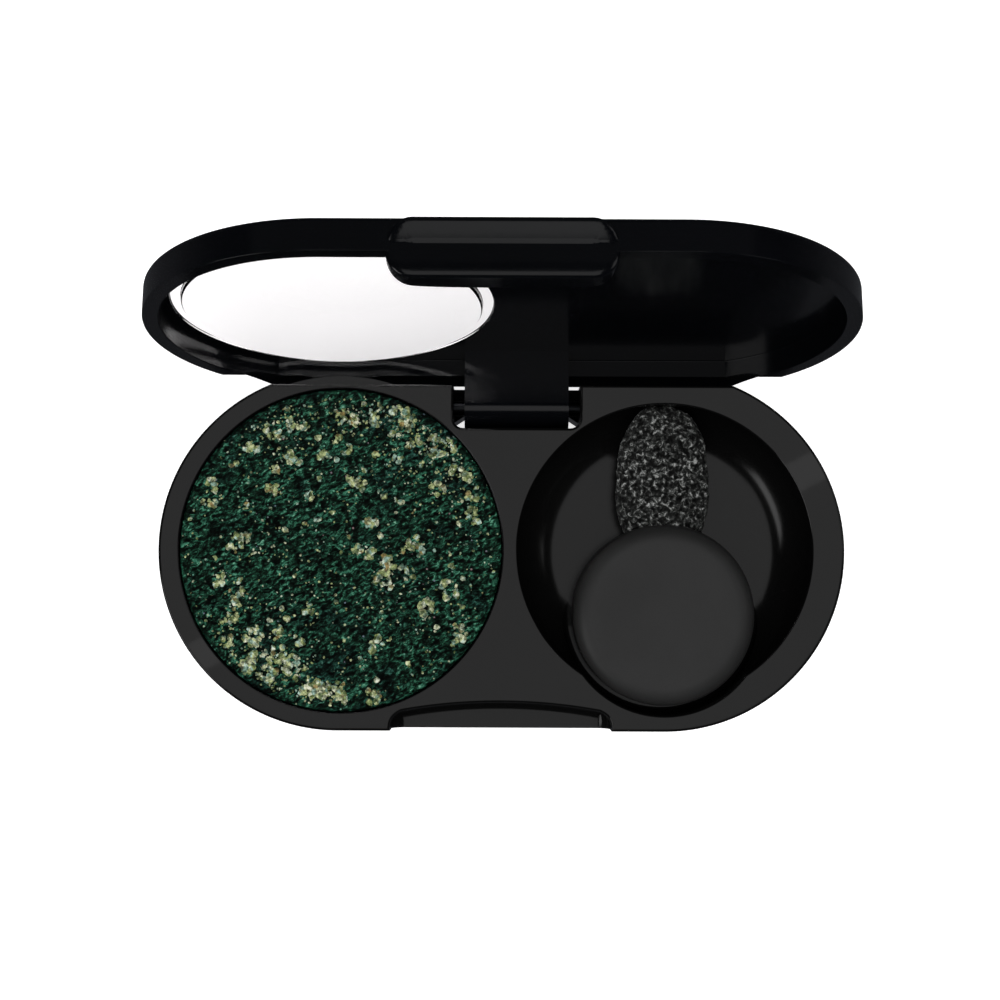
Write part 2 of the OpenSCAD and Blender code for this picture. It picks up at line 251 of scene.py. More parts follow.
def mouldedPlastic(name, look):
    # a faint drift in shade, and the tool's own texture as gloss and bump
    material, tree, surface, place = newMaterial(name, {"IOR": look["ior"], "Specular IOR Level": look["specular"]})
    drift = addNode(tree, "ShaderNodeTexNoise", {"Vector": place, "Scale": perMetre(look["driftMm"]),
                                                 "Detail": 2.0})
    grain = addNode(tree, "ShaderNodeTexNoise", {"Vector": place, "Scale": perMetre(look["grainMm"]), "Detail": 3.0,
                                                 "Roughness": 0.6})
    shade = addNode(tree, "ShaderNodeValToRGB", {"Fac": drift.outputs["Fac"],
                                                 "stops": [(0.3, look["colour"]), (0.7, look["drifted"])]})
    gloss = addNode(tree, "ShaderNodeMapRange", {"Value": grain.outputs["Fac"], "From Min": 0.3, "From Max": 0.7,
                                                 "To Min": look["rough"][0], "To Max": look["rough"][1]})
    bump = addNode(tree, "ShaderNodeBump", {"Height": grain.outputs["Fac"], "Strength": look["bump"],
                                            "Distance": look["bumpMm"] * mm})
    rough = gloss.outputs["Result"]
    if "satinBelow" in look:  # the tool's cores, which form the wells, are polished less than its deck
        high, low, more = look["satinBelow"]
        height = addNode(tree, "ShaderNodeSeparateXYZ", {"Vector": place})
        inWell = addNode(tree, "ShaderNodeMapRange", {"Value": height.outputs["Z"], "From Min": high * mm,
                                                      "From Max": low * mm, "To Min": 0.0, "To Max": more})
        rough = addNode(tree, "ShaderNodeMath", {0: rough, 1: inWell.outputs["Result"]}).outputs["Value"]
    tree.links.new(shade.outputs["Color"], surface.inputs["Base Color"])
    tree.links.new(rough, surface.inputs["Roughness"])
    tree.links.new(bump.outputs["Normal"], surface.inputs["Normal"])
    return material


# ABS moulded in a polished tool: deep black, mirror-like, with only a slow drift in gloss
caseAbs = mouldedPlastic("polishedCaseAbs", {
    "colour": "#0a0a0a", "drifted": "#0c0c0c", "driftMm": 9, "grainMm": 0.6, "rough": (0.015, 0.03),
    "satinBelow": (deckZ - 0.15, deckZ - 0.9, 0.16), "bump": 0.02, "bumpMm": 0.004, "ior": 1.53, "specular": 0.5})

# ABS from the lid's tool: a touch bluer than the case and less finely polished, so what it reflects is soft
lidAbs = mouldedPlastic("softPolishedLidAbs", {
    "colour": "#060709", "drifted": "#07080b", "driftMm": 9, "grainMm": 0.8, "rough": (0.13, 0.17),
    "bump": 0.02, "bumpMm": 0.003, "ior": 1.53, "specular": 0.5})

# ABS from a spark-eroded tool: fine matte grain, about 0.1 mm, soft wide highlight
knobAbs = mouldedPlastic("sparkErodedKnobAbs", {
    "colour": "#252525", "drifted": "#282828", "driftMm": 4, "grainMm": 0.12, "rough": (0.42, 0.55),
    "bump": 0.25, "bumpMm": 0.02, "ior": 1.53, "specular": 0.5})

# ABS with a coarser spark-eroded grain, about 0.2 mm, which hides scuffs on the underside
coverAbs = mouldedPlastic("erodedCoverAbs", {
    "colour": "#141415", "drifted": "#19191a", "driftMm": 6, "grainMm": 0.22, "rough": (0.4, 0.6),
    "bump": 0.35, "bumpMm": 0.03, "ior": 1.53, "specular": 0.45})

# Polypropylene, moulded: slightly waxy and greyer than ABS
stemPp = mouldedPlastic("mouldedPolypropylene", {
    "colour": "#1c1c1d", "drifted": "#212122", "driftMm": 3, "grainMm": 0.3, "rough": (0.35, 0.45),
    "bump": 0.1, "bumpMm": 0.01, "ior": 1.49, "specular": 0.45})


def clearAcrylic():
    # PMMA, injection moulded and polished: water clear, with the faintest flow ripple towards the gate
    material, tree, surface, place = newMaterial("polishedAcrylic", {
        "Base Color": hexColour("#fdfbfc"), "IOR": 1.49, "Transmission Weight": 1.0})
    ripple = addNode(tree, "ShaderNodeTexNoise", {"Vector": place, "Scale": perMetre(7), "Detail": 1.0})
    gloss = addNode(tree, "ShaderNodeMapRange", {"Value": ripple.outputs["Fac"], "To Min": 0.0, "To Max": 0.03})
    bump = addNode(tree, "ShaderNodeBump", {"Height": ripple.outputs["Fac"], "Strength": 0.03,
                                            "Distance": 0.02 * mm})
    tree.links.new(gloss.outputs["Result"], surface.inputs["Roughness"])
    tree.links.new(bump.outputs["Normal"], surface.inputs["Normal"])
    return material


def latexFoam():
    # Flocked latex foam: black, crumpled into folds about 0.5 mm wide; its colour carries painted highlights as
    # fine glints on the crests and painted shade in the folds
    material, tree, surface, place = newMaterial("flockedLatexFoam", {
        "IOR": 1.5, "Specular IOR Level": 0.45, "Sheen Weight": 0.04, "Sheen Roughness": 0.4})
    cells = addNode(tree, "ShaderNodeTexVoronoi", {"feature": "SMOOTH_F1", "Vector": place, "Scale": perMetre(0.42),
                                                   "Smoothness": 0.35})
    crumple = addNode(tree, "ShaderNodeTexNoise", {"Vector": place, "Scale": perMetre(0.4), "Detail": 6.0,
                                                   "Roughness": 0.7, "Distortion": 0.6})
    height = addNode(tree, "ShaderNodeMath", {"operation": "SUBTRACT", 0: crumple.outputs["Fac"],
                                              1: cells.outputs["Distance"]})
    # painted shade in the folds and painted highlights on the crests: the colour follows the same crumple that
    # shapes the bump
    shade = addNode(tree, "ShaderNodeValToRGB", {"Fac": crumple.outputs["Fac"], "stops": [
        (0.42, "#010101"), (0.49, "#131413"), (0.56, "#434543"), (0.65, "#bcbebc")]})
    gloss = addNode(tree, "ShaderNodeMapRange", {"Value": crumple.outputs["Fac"], "From Min": 0.4, "From Max": 0.65,
                                                 "To Min": 0.65, "To Max": 0.28})
    bump = addNode(tree, "ShaderNodeBump", {"Height": height.outputs["Value"], "Strength": 0.9,
                                            "Distance": 0.25 * mm})
    tree.links.new(shade.outputs["Color"], surface.inputs["Base Color"])
    tree.links.new(gloss.outputs["Result"], surface.inputs["Roughness"])
    tree.links.new(bump.outputs["Normal"], surface.inputs["Normal"])
    return material


def pressedPigment():
    # Pressed powder with pearl pigment, coloured by the grain's height: painted shade (near-black green) in the
    # valleys and painted teal highlights on the raised grain.
    # The grain lies in strokes about 0.45 x 0.27 mm, leaning 27 degrees, as the press cloth leaves them;
    # real pearl grains are a tenth of that and are drawn coarser so that they show
    material, tree, surface, place = newMaterial("pressedPearlPigment", {"IOR": 1.5, "Specular IOR Level": 0.2})
    turned = addNode(tree, "ShaderNodeMapping", {"vector_type": "TEXTURE", "Vector": place,
                                                 "Rotation": (0, 0, math.radians(27)), "Scale": (1.7, 1.0, 1.0)})
    strokes = addNode(tree, "ShaderNodeTexNoise", {"Vector": turned.outputs["Vector"], "Scale": perMetre(0.27),
                                                   "Detail": 4.0, "Roughness": 0.7, "Distortion": 0.6})
    patches = addNode(tree, "ShaderNodeTexNoise", {"Vector": place, "Scale": perMetre(2.6), "Detail": 2.0})
    # painted shade and painted highlight: the same stroke height feeds the bump, low strokes are painted dark and
    # high strokes bright teal
    shade = addNode(tree, "ShaderNodeValToRGB", {"Fac": strokes.outputs["Fac"], "stops": [
        (0.42, "#000101"), (0.5, "#06180f"), (0.57, "#1a4d3a"), (0.65, "#489173"), (0.74, "#a8dcc0")]})
    tint = addNode(tree, "ShaderNodeValToRGB", {"Fac": patches.outputs["Fac"], "stops": [
        (0.35, "#8c93a8"), (0.5, "#d8e0dc"), (0.66, "#ffffff")]})
    mixed = addNode(tree, "ShaderNodeMix", {"data_type": "RGBA", "blend_type": "MULTIPLY", 0: 0.8,
                                            6: shade.outputs["Color"], 7: tint.outputs["Color"]})
    sparks = addNode(tree, "ShaderNodeTexVoronoi", {"Vector": place, "Scale": perMetre(0.3)})
    chance = addNode(tree, "ShaderNodeSeparateColor", {"Color": sparks.outputs["Color"]})
    rare = addNode(tree, "ShaderNodeMath", {"operation": "GREATER_THAN", 0: chance.outputs["Red"], 1: 0.93})
    near = addNode(tree, "ShaderNodeMath", {"operation": "LESS_THAN", 0: sparks.outputs["Distance"], 1: 0.26})
    spark = addNode(tree, "ShaderNodeMath", {"operation": "MULTIPLY", 0: rare.outputs["Value"],
                                             1: near.outputs["Value"]})
    sparkTone = addNode(tree, "ShaderNodeValToRGB", {"Fac": chance.outputs["Green"], "stops": [
        (0.2, "#5f9a84"), (0.45, "#a9b898"), (0.7, "#8a9674"), (0.85, "#66768c"), (0.95, "#8c7478")]})
    colour = addNode(tree, "ShaderNodeMix", {"data_type": "RGBA", 0: spark.outputs["Value"],
                                             6: mixed.outputs[2], 7: sparkTone.outputs["Color"]})
    bump = addNode(tree, "ShaderNodeBump", {"Height": strokes.outputs["Fac"], "Strength": 0.85,
                                            "Distance": 0.16 * mm})
    gloss = addNode(tree, "ShaderNodeMapRange", {"Value": strokes.outputs["Fac"], "From Min": 0.4, "From Max": 0.7,
                                                 "To Min": 0.7, "To Max": 0.3})
    tree.links.new(colour.outputs[2], surface.inputs["Base Color"])
    tree.links.new(gloss.outputs["Result"], surface.inputs["Roughness"])
    tree.links.new(bump.outputs["Normal"], surface.inputs["Normal"])
    return material


def micaFlakes():
    # Gold-coated mica: pale yellow-green chips, pearly, each chip its own tone from brass to white
    material, tree, surface, place = newMaterial("goldCoatedMica", {
        "IOR": 1.6, "Metallic": 0.1, "Coat Weight": 0.6, "Coat Roughness": 0.1})
    chips = addNode(tree, "ShaderNodeTexVoronoi", {"Vector": place, "Scale": perMetre(0.34)})
    chance = addNode(tree, "ShaderNodeSeparateColor", {"Color": chips.outputs["Color"]})
    tone = addNode(tree, "ShaderNodeValToRGB", {"Fac": chance.outputs["Red"], "stops": [
        (0.0, "#6d8258"), (0.2, "#a9b877"), (0.42, "#dde5aa"), (0.62, "#fafbe2"), (0.76, "#bcdccf"),
        (0.9, "#7aa390"), (0.98, "#a8935a")]})
    cracks = addNode(tree, "ShaderNodeTexNoise", {"Vector": place, "Scale": perMetre(0.3), "Detail": 5.0,
                                                  "Roughness": 0.7})
    # painted shade: the chips are darkened where the crack bump is low and kept white where it is high
    paintedCrackShade = addNode(tree, "ShaderNodeValToRGB", {"Fac": cracks.outputs["Fac"], "stops": [
        (0.38, "#2c3a30"), (0.48, "#a3ab97"), (0.58, "#ffffff")]})
    colour = addNode(tree, "ShaderNodeMix", {"data_type": "RGBA", "blend_type": "MULTIPLY", 0: 0.9,
                                             6: tone.outputs["Color"], 7: paintedCrackShade.outputs["Color"]})
    bump = addNode(tree, "ShaderNodeBump", {"Height": cracks.outputs["Fac"], "Strength": 0.6,
                                            "Distance": 0.06 * mm})
    gloss = addNode(tree, "ShaderNodeMapRange", {"Value": chance.outputs["Green"], "To Min": 0.18, "To Max": 0.5})
    tree.links.new(colour.outputs[2], surface.inputs["Base Color"])
    tree.links.new(gloss.outputs["Result"], surface.inputs["Roughness"])
    tree.links.new(bump.outputs["Normal"], surface.inputs["Normal"])
    return material


def brushedMetal(name, colour, worn, rough, lineMm, squeeze):
    # fine parallel lines, as rolling or drawing leaves them; squeeze is how much they are drawn out along each axis
    material, tree, surface, place = newMaterial(name, {"Metallic": 1.0})
    turned = addNode(tree, "ShaderNodeMapping", {"Vector": place, "Scale": squeeze})
    lines = addNode(tree, "ShaderNodeTexNoise", {"Vector": turned.outputs["Vector"], "Scale": perMetre(lineMm),
                                                 "Detail": 3.0})
    shade = addNode(tree, "ShaderNodeValToRGB", {"Fac": lines.outputs["Fac"],
                                                 "stops": [(0.35, colour), (0.7, worn)]})
    gloss = addNode(tree, "ShaderNodeMapRange", {"Value": lines.outputs["Fac"], "To Min": rough[0],
                                                 "To Max": rough[1]})
    bump = addNode(tree, "ShaderNodeBump", {"Height": lines.outputs["Fac"], "Strength": 0.15,
                                            "Distance": 0.01 * mm})
    tree.links.new(shade.outputs["Color"], surface.inputs["Base Color"])
    tree.links.new(gloss.outputs["Result"], surface.inputs["Roughness"])
    tree.links.new(bump.outputs["Normal"], surface.inputs["Normal"])
    return material


def hotMeltGlue():
    # EVA hot melt: ivory, cloudy, softly glossy, set in slow waves
    material, tree, surface, place = newMaterial("hotMeltGlue", {
        "IOR": 1.48, "Subsurface Weight": 0.2, "Subsurface Radius": (0.6 * mm, 0.5 * mm, 0.3 * mm)})
    cloud = addNode(tree, "ShaderNodeTexNoise", {"Vector": place, "Scale": perMetre(2.5), "Detail": 3.0})
    shade = addNode(tree, "ShaderNodeValToRGB", {"Fac": cloud.outputs["Fac"],
                                                 "stops": [(0.3, "#d8cfae"), (0.7, "#efe8cf")]})
    gloss = addNode(tree, "ShaderNodeMapRange", {"Value": cloud.outputs["Fac"], "To Min": 0.25, "To Max": 0.5})
    bump = addNode(tree, "ShaderNodeBump", {"Height": cloud.outputs["Fac"], "Strength": 0.4, "Distance": 0.1 * mm})
    tree.links.new(shade.outputs["Color"], surface.inputs["Base Color"])
    tree.links.new(gloss.outputs["Result"], surface.inputs["Roughness"])
    tree.links.new(bump.outputs["Normal"], surface.inputs["Normal"])
    return material


acrylic = clearAcrylic()
foam = latexFoam()
pigment = pressedPigment()
mica = micaFlakes()
glue = hotMeltGlue()
tinplate = brushedMetal("drawnTinplate", "#a9aaac", "#c9cacb", (0.22, 0.4), 0.35, (1.0, 1.0, 0.12))
pinSteel = brushedMetal("blackenedSteelWire", "#26272a", "#4a4b4e", (0.3, 0.45), 0.2, (0.1, 1.0, 1.0))
labelFoil = brushedMetal("brushedLabelFoil", "#b9babc", "#d3d4d5", (0.28, 0.42), 0.16, (0.03, 1.0, 1.0))
print("materials ready")


case = {  # sizes in millimetres, as in every dictionary here
    "wellR": 13.12, "wellZ": 5.3, "wellLip": 0.12,
    "bowlR": 11.93, "bowlZ": 4.0, "coveR": 3.3, "bowlLip": 0.16,
    "pocketR": 8.15, "pocketFoot": 0.5,
    "topEdge": 0.22, "bottomEdge": 0.4,
    "wall": 1.25, "deck": 1.0, "coverT": 1.2, "coverSeat": 0.85,
    "notchHalf": 5.15, "notchFront": 9.95, "notchCorner": 0.8, "cheek": 2.6, "skin": 0.9,
    "knuckleR": 1.6, "stopGap": 0.03, "stopFall": 0.3, "stopFront": 11.3, "gusset": 0.55, "gussetIn": 0.85,
    "boreR": 0.64, "boreHalf": 6.45,
    "recessHalf": 8.95, "recessIn": 2.3, "recessDown": 4.5, "recessArc": 45, "recessCove": 0.8,
    "recessEnd": 1.7, "recessPower": 3.2,
}
rise = 0.006  # cutters' lips stand this far over the surface they open on


def wellTool(at, radius, floor, foot, lip, steps, roundSteps):
    brim = radius + lip + 0.02
    return lathe([(0, floor), (radius, floor, foot), (radius, deckZ + rise, lip), (brim, deckZ + rise),
                  (brim, deckZ + 2), (0, deckZ + 2)], at, steps, roundSteps)


def boss(at, radius, low, high):  # the solid round column that a well is sunk in
    return lathe([(0, low), (radius, low), (radius, high), (0, high)], at)


def superArch(half, deep, power, front):  # half a superellipse, open side towards the front
    count = 56
    arch = [(-half, front), (half, front)]
    for i in range(count + 1):
        x = half * math.cos(math.pi * i / count)
        arch.append((x, -endR + deep * max(0.0, 1 - (abs(x) / half) ** power) ** (1 / power)))
    return arch


def buildCase():
    c = case
    body = pill(0, 0, deckZ)
    bevelWhere(body, c["bottomEdge"], 4, atHeight(0))
    hx, hz = hingeAt.x, hingeAt.z
    left, right = hx - c["notchHalf"], hx + c["notchHalf"]
    cheekFront = c["notchFront"] - c["skin"]
    cheeks = plate([(left - c["cheek"], cheekFront), (right + c["cheek"], cheekFront),
                    (right + c["cheek"], backY - 0.02), (left - c["cheek"], backY - 0.02)], 0.03, deckZ - 0.5)
    behind = backY - hingeAt.y
    stopZ = hz - (c["knuckleR"] - behind * math.cos(openAngle)) / math.sin(openAngle) - c["stopGap"]
    # the stop's top falls to the front, so the lid touches it along one line
    fall = (backY - c["notchFront"]) * c["stopFall"]
    slot = combine(
        plate([(left, c["notchFront"], c["notchCorner"]), (right, c["notchFront"], c["notchCorner"]),
               (right, backY + 2), (left, backY + 2)], stopZ - 2, deckZ + 2),
        ("INTERSECT", plate([(c["notchFront"] - 1, stopZ - fall), (c["notchFront"], stopZ - fall), (backY, stopZ),
                             (backY + 3, stopZ), (backY + 3, deckZ + 1), (c["notchFront"] - 1, deckZ + 1)],
                            left - 1, right + 1, "X")))
    inner, gussetFront = c["gussetIn"], c["stopFront"] - c["gusset"]
    notchFront = [(left, c["notchFront"], c["notchCorner"]), (right, c["notchFront"], c["notchCorner"])]
    through = plate([*notchFront, (right, gussetFront), (right - inner, c["stopFront"]),
                     (left + inner, c["stopFront"]), (left, gussetFront)], -2, stopZ - 0.2)
    recessZ, recessEndX = deckZ - c["recessDown"], c["recessHalf"] + 0.03
    recess = combine(
        plate(superArch(c["recessHalf"], c["recessIn"], c["recessPower"], -endR - 2), recessZ - 1, deckZ + 1.5),
        ("INTERSECT", lathe([(0, recessZ), (c["recessArc"], recessZ, c["recessCove"]),
                             (c["recessArc"], deckZ + 1), (0, deckZ + 1)],
                            (0, -endR + c["recessIn"] - c["recessArc"]), 520, 8)),
        ("INTERSECT", plate([(-recessEndX, recessZ - 0.2, c["recessEnd"]),
                             (recessEndX, recessZ - 0.2, c["recessEnd"]),
                             (recessEndX, deckZ + 0.8), (-recessEndX, deckZ + 0.8)],
                            -endR - 1.5, -endR + 4, "Y", 8)))
    cavityTop = deckZ - c["deck"]
    blockHalf, blockBack = c["recessHalf"] + c["deck"], -endR + c["recessIn"] + c["deck"]
    recessBlock = plate([(-blockHalf, -endR + 0.1), (blockHalf, -endR + 0.1), (blockHalf, blockBack),
                         (-blockHalf, blockBack)], deckZ - c["recessDown"] - c["deck"], deckZ - 0.4)
    body = combine(
        body,
        ("DIFFERENCE", pill(-c["coverSeat"], -1, c["coverT"])),
        ("DIFFERENCE", pill(-c["wall"], c["coverT"] - 0.5, cavityTop)),
        ("UNION", boss((panX, 0), c["wellR"] + 1, c["wellZ"] - 1, deckZ - 0.3)),
        ("UNION", boss((bowlX, 0), c["bowlR"] + 1, c["bowlZ"] - 1, deckZ - 0.35)),
        ("UNION", boss((bowlX, pocketY), c["pocketR"] + 1, c["bowlZ"] - 1.01, deckZ - 0.45)),
        ("UNION", recessBlock),
        ("UNION", cheeks),
        ("DIFFERENCE", wellTool((panX, 0), c["wellR"], c["wellZ"], 0.3, c["wellLip"], 168, 4)),
        ("DIFFERENCE", wellTool((bowlX, 0), c["bowlR"], c["bowlZ"], c["coveR"], c["bowlLip"], 168, 10)),
        ("DIFFERENCE", wellTool((bowlX, pocketY), c["pocketR"], c["bowlZ"], c["pocketFoot"], c["bowlLip"], 128, 6)),
        ("DIFFERENCE", slot),
        ("DIFFERENCE", through),
        ("DIFFERENCE", recess),
        ("DIFFERENCE", rodAlongX((hx, hingeAt.y, hz), c["boreR"], c["boreHalf"])))
    bevelWhere(body, c["topEdge"], 4, sharpAtHeight(deckZ))
    return makePiece("caseShell", body, "base", caseAbs, ["base_shell"])


caseShell = buildCase()


lid = {  # the lid is shaped shut and then turned open, which is how it rests
    "height": 2.7, "plate": 0.75, "wall": 1.25, "outerEdge": 0.45, "innerFillet": 0.35, "rimEdge": 0.12,
    "windowR": 12.6, "windowLip": 0.08, "reliefY": 10.75, "reliefGap": 0.04, "seat": 0.02,
    "tongueHalf": 4.25, "knuckleR": 1.6, "pinR": 0.6,
}
tab = {
    "half": 8.35, "drop": 1.95, "top": 0.33, "corner": 1.9, "edgeY": -15.15, "backY": -12.55,
    "planHalf": 8.65, "planIn": 2.0, "power": 3.2, "bead": 0.1, "strips": 14, "scoop": 0.5, "scoopReach": 1.7,
    # each step draws the front face in by the first value and out by the second
    "dome": [(0.03, 0.12), (0.07, 0.085), (0.12, 0.08), (0.2, 0.08), (0.3, 0.07), (0.36, 0.055), (0.38, 0.04),
             (0.36, 0.02)],
}


def buildTab():
    t = tab
    low, high = deckZ - t["drop"], deckZ + lid["height"] - t["top"]
    corners = [(x, z, t["corner"]) for x, z in
               ((-t["half"], low), (t["half"], low), (t["half"], high), (-t["half"], high))]
    bm = plate(corners, t["backY"] + 0.5, t["edgeY"], "Y", 10)
    front = [f for f in bm.faces if all(abs(v.co.y - t["edgeY"]) < 0.001 for v in f.verts)]
    for inset, push in t["dome"]:
        bmesh.ops.inset_region(bm, faces=front, thickness=inset, depth=push, use_even_offset=True)
    for step in range(1, t["strips"]):
        height = high - (high - low) * step / t["strips"]
        bmesh.ops.bisect_plane(bm, geom=[*bm.verts, *bm.edges, *bm.faces],
                               plane_co=(0, 0, height), plane_no=(0, 0, 1))
    for v in bm.verts:  # the face falls away under the tab's upper edge, as a rest for the thumb
        forward = (t["backY"] + 0.5 - v.co.y) / (t["backY"] + 0.5 - t["edgeY"])
        v.co.y += max(0.0, forward) * t["scoop"] * min(high - v.co.z, t["scoopReach"])
    plan = plate(superArch(t["planHalf"], t["planIn"], t["power"], -endR - 2), low - 1, high + 1)
    return combine(bm, ("INTERSECT", plan))


def buildLid():
    p = lid
    top = deckZ + p["height"]
    plateZ = top - p["plate"]
    hx, hy, hz = hingeAt
    rimZ = deckZ + p["seat"]
    body = pill(0, rimZ, top)
    bevelWhere(body, p["outerEdge"], 5, atHeight(top))
    hollow = pill(-p["wall"], deckZ - 1, plateZ)
    bevelWhere(hollow, p["innerFillet"], 4, atHeight(plateZ))
    windowR, lip = p["windowR"], p["windowLip"]
    brim = windowR + lip + 0.02
    window = lathe([(0, deckZ + 0.5), (brim, deckZ + 0.5), (brim, plateZ - rise), (windowR, plateZ - rise, lip),
                    (windowR, top + rise, lip), (brim, top + rise), (brim, top + 1), (0, top + 1)],
                   (-endX, 0), 168, 4)
    # the relief lets the rim turn past the deck's back edge
    reliefR = math.hypot(backY - hy, deckZ - hz) + p["reliefGap"]
    behind = [(-50, p["reliefY"]), (50, p["reliefY"]), (50, backY + 3), (-50, backY + 3)]
    relief = combine(rodAlongX(hingeAt, reliefR, 45, 160), ("INTERSECT", plate(behind, deckZ - 1, deckZ + 1.5)))
    r = p["knuckleR"]
    tongue = plate([(hy - r, hz - r, r - 0.005), (hy + r, hz - r, r - 0.005), (hy + r, plateZ + 0.3),
                    (hy - r, plateZ + 0.3)], hx - p["tongueHalf"], hx + p["tongueHalf"], "X", 18)
    beadY = -endR + tab["planIn"]
    bead = plate([(beadY - 0.2, deckZ - 1.3), (beadY + tab["bead"], deckZ - 1.2, 0.05),
                  (beadY + tab["bead"], deckZ - 1.0, 0.05), (beadY - 0.2, deckZ - 0.9)], -4, 4, "X", 4)
    body = combine(body, ("DIFFERENCE", hollow), ("DIFFERENCE", window))
    bevelWhere(body, p["rimEdge"], 3, sharpAtHeight(rimZ))
    body = combine(body, ("DIFFERENCE", relief), ("UNION", tongue), ("UNION", buildTab()), ("UNION", bead),
                   ("DIFFERENCE", rodAlongX(hingeAt, p["pinR"], p["tongueHalf"] + 1)))
    bmesh.ops.transform(body, matrix=openLid, verts=body.verts)
    return makePiece("lidShell", body, "lid", lidAbs, ["lid_shell"])


lens = {"radius": 12.57, "stepR": 11.67, "proud": 0.45, "edge": 0.14, "stepEdge": 0.2}


def buildLens():
    n = lens
    top = deckZ + lid["height"]
    plateZ = top - lid["plate"]
    stepZ = plateZ - n["proud"]
    bm = lathe([(0, stepZ), (n["stepR"], stepZ, n["stepEdge"]), (n["stepR"], plateZ, 0.06),
                (n["radius"], plateZ, 0.05), (n["radius"], top, n["edge"]), (0, top)], (-endX, 0), 176, 5)
    bmesh.ops.transform(bm, matrix=openLid, verts=bm.verts)
    return makePiece("windowLens", bm, "lid", acrylic, ["window_lens"])


lidShell = buildLid()
windowLens = buildLens()


knob = {"topEdge": 1.4, "footEdge": 0.3, "dishR": 5.2, "dishDepth": 0.22}


def buildKnob():
    k = knob
    radius = (knobHigh.x - knobLow.x) / 2
    low, top = knobLow.z, knobHigh.z
    bowl = (k["dishR"] ** 2 + k["dishDepth"] ** 2) / (2 * k["dishDepth"])
    dish = [(k["dishR"] * s, top - k["dishDepth"] + bowl - math.sqrt(bowl ** 2 - (k["dishR"] * s) ** 2))
            for s in (0.8, 0.6, 0.4, 0.2, 0)]
    bm = lathe([(0, low), (radius, low, k["footEdge"]), (radius, top, k["topEdge"]), (k["dishR"] + 0.25, top),
                (k["dishR"] - 0.25, top - 0.021), *dish], (bowlX, pocketY), 144, 10)
    return makePiece("applicatorKnob", bm, "applicator", knobAbs, ["applicator_knob"])


sponge = {
    "levels": 6, "widest": 0.38, "tipPower": 2.35, "rootPower": 7.0, "crossPower": 2.0, "taper": 0.17,
    "tuck": 0.9, "plump": 0.3, "crumpleMm": 1.3, "crumple": 0.14, "foldMm": 0.55, "fold": 0.12,
    "poreMm": 0.27, "pore": 0.06, "mostOut": 0.12,
}


def buildSponge():
    s = sponge
    halfW = (spongeHigh.x - spongeLow.x) / 2
    halfT = (spongeHigh.z - spongeLow.z) / 2
    midZ = (spongeHigh.z + spongeLow.z) / 2
    rootY, tipY = spongeLow.y - s["tuck"], spongeHigh.y + s["plump"]  # its root is squeezed in against the knob
    midY = rootY + s["widest"] * (tipY - rootY)
    bm = bmesh.new()
    bmesh.ops.create_icosphere(bm, subdivisions=s["levels"], radius=1)
    for v in bm.verts:
        n = v.co.normalized()
        power = s["tipPower"] if n.y > 0 else s["rootPower"]
        cross = (abs(n.x) ** s["crossPower"] + abs(n.z) ** s["crossPower"]) ** (1 / s["crossPower"])
        reach = (cross ** power + abs(n.y) ** power) ** (-1 / power)
        along = n.y * reach
        length = (tipY - midY) if along > 0 else (midY - rootY)
        taper = 1 - s["taper"] * min(0.0, along) ** 2
        v.co = Vector((bowlX + n.x * reach * halfW * taper, midY + along * length, midZ + n.z * reach * halfT))
    bm.normal_update()
    for v in bm.verts:
        p, n = v.co, v.normal
        crumple = noise.noise(p / s["crumpleMm"])
        fold = abs(noise.noise(p / s["foldMm"] + Vector((7, 3, 1)))) - 0.25
        pore = noise.noise(p / s["poreMm"])
        push = crumple * s["crumple"] - fold * s["fold"] * 2 + pore * s["pore"]
        v.co = p + n * min(s["mostOut"], push)
        v.co.y = min(v.co.y, tipY)
    return makePiece("spongeTip", bm, "applicator", foam, ["sponge_tip"], 80, False)


applicatorKnob = buildKnob()
spongeTip = buildSponge()


cake = {
    "grid": 0.115, "underR": 12.7, "strokeMm": (0.5, 0.3), "lean": 27, "relief": 0.08,
    "wander": 0.12, "wanderMm": 0.9, "swellMm": 3.0, "swell": 0.03, "edge": 0.35, "edgeDrop": 0.12,
}


def grainHeight(x, y):  # raised strokes with wavy sides, leaning across the cake
    lean = math.radians(cake["lean"])
    along = x * math.cos(lean) + y * math.sin(lean)
    across = -x * math.sin(lean) + y * math.cos(lean)
    across += cake["wander"] * noise.noise(Vector((along / cake["wanderMm"], across / cake["wanderMm"], 4)))
    stroke = noise.noise(Vector((along / cake["strokeMm"][0], across / cake["strokeMm"][1], 0)))
    swell = noise.noise(Vector((x / cake["swellMm"], y / cake["swellMm"], 9)))
    return stroke * cake["relief"] + swell * cake["swell"]


